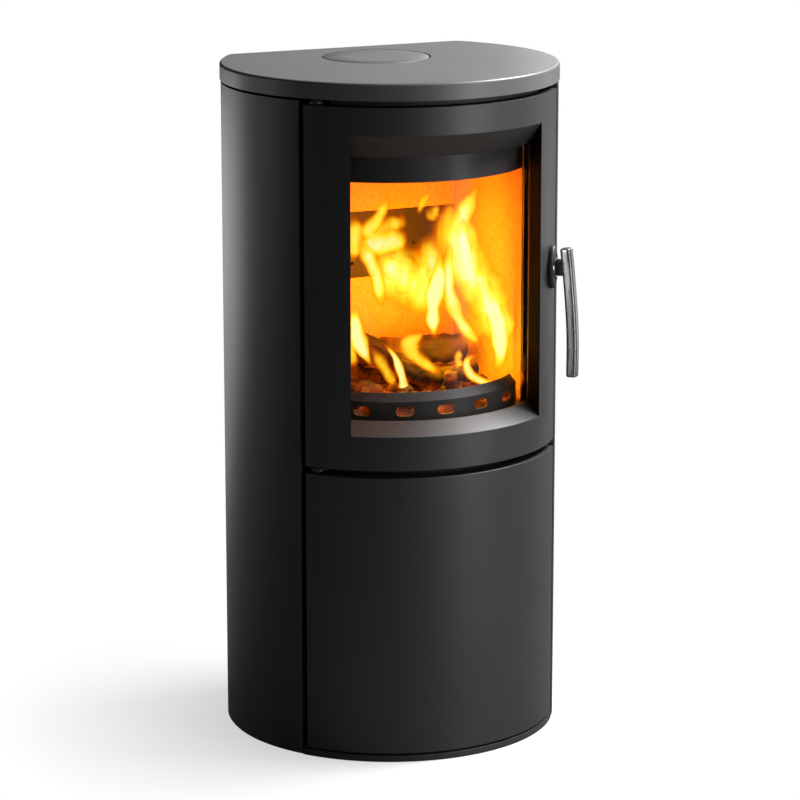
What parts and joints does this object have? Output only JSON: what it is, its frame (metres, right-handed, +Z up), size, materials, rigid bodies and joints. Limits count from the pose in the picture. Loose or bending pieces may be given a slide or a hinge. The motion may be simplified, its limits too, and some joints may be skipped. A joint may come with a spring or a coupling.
{
  "type": "wood-burning stove",
  "caption": "Free-standing round wood stove with a curved glass fire door, side-hung lever handle, log store door below and flat top plate with a flue cover.",
  "frame": {"origin": "on the floor, on the axis of the round casing, at the underside of the base plate", "axes": "+Z up, -Y towards the person facing the fire door, +X to that person's right, +Y towards the wall"},
  "size_m": [0.5, 0.415, 1],
  "materials": {
    "case_paint": "satin heat-resistant stove paint, charcoal",
    "inner_paint": "matt heat-resistant paint, black",
    "cast_iron": "matt black",
    "bare_steel": "plain zinc-plated",
    "handle_paint": "satin grey",
    "firebrick": "pressed vermiculite board",
    "ceramic_glass": "clear ceramic glass",
    "rope_seal": "braided glass-fibre rope"
  },
  "bodies": {
    "stove_body": {"base_plate": "case_paint", "side_panel_left": "case_paint", "side_panel_right": "case_paint", "back_panel_lower": "case_paint", "back_panel_upper": "case_paint", "rear_post_left": "inner_paint", "rear_post_right": "inner_paint", "top_plate": "case_paint", "top_rail": "inner_paint", "log_store_liner": "inner_paint", "firebox_shelf": "inner_paint", "air_box": "inner_paint", "air_pipe": "inner_paint", "magnet_catch": "cast_iron", "firebox_shell": "inner_paint", "front_frame": "inner_paint", "hearth_plate": "inner_paint", "ash_pan": "inner_paint", "grate": "cast_iron", "floor_brick_left": "firebrick", "floor_brick_right": "firebrick", "side_brick_left": "firebrick", "side_brick_right": "firebrick", "back_brick_lower": "firebrick", "back_brick_upper": "firebrick", "rear_air_plate": "cast_iron", "baffle_brick": "firebrick", "air_wash_strip": "inner_paint", "log_retainer": "cast_iron", "flue_collar": "cast_iron", "top_flue_blank": "cast_iron", "hinge_bracket_top": "case_paint", "hinge_bracket_middle": "case_paint", "hinge_pin_top": "bare_steel", "hinge_pin_middle": "bare_steel", "hinge_pin_bottom": "bare_steel", "latch_strike": "bare_steel"},
    "flue_cover_plate": {"flue_cover": "case_paint"},
    "air_control": {"air_rod": "bare_steel", "air_knob": "handle_paint", "air_damper": "bare_steel"},
    "fire_door": {"fire_door_frame": "case_paint", "door_glass": "ceramic_glass", "glass_gasket": "rope_seal", "door_rope_seal": "rope_seal", "glass_clamp_left_1": "bare_steel", "glass_clamp_left_2": "bare_steel", "glass_clamp_right_1": "bare_steel", "glass_clamp_right_2": "bare_steel", "handle_rosette": "case_paint"},
    "door_handle": {"handle_grip": "handle_paint", "handle_shaft": "bare_steel", "handle_washer": "bare_steel", "latch_cam": "bare_steel"},
    "lower_door": {"lower_door_panel": "case_paint", "magnet_tab": "bare_steel"}
  },
  "joints": [
    {"name": "fire_door_hinge", "type": "hinge", "parent": "stove_body", "child": "fire_door", "pos_m": [-0.1821, -0.15011, 0.7], "axis": [0, 0, -1], "range_deg": [0, 100]},
    {"name": "handle_turn", "type": "hinge", "parent": "fire_door", "child": "door_handle", "pos_m": [0.1865, -0.17391, 0.706], "axis": [0.7314, -0.682, 0], "range_deg": [0, 35]},
    {"name": "lower_door_hinge", "type": "hinge", "parent": "stove_body", "child": "lower_door", "pos_m": [-0.1821, -0.15011, 0.22], "axis": [0, 0, -1], "range_deg": [0, 100]},
    {"name": "flue_cover_lift", "type": "slide", "parent": "stove_body", "child": "flue_cover_plate", "axis": [0, 0, 1], "range_m": [0, 0.06]},
    {"name": "air_control_slide", "type": "slide", "parent": "stove_body", "child": "air_control", "axis": [0, -1, 0], "range_m": [0, 0.04]}
  ]
}
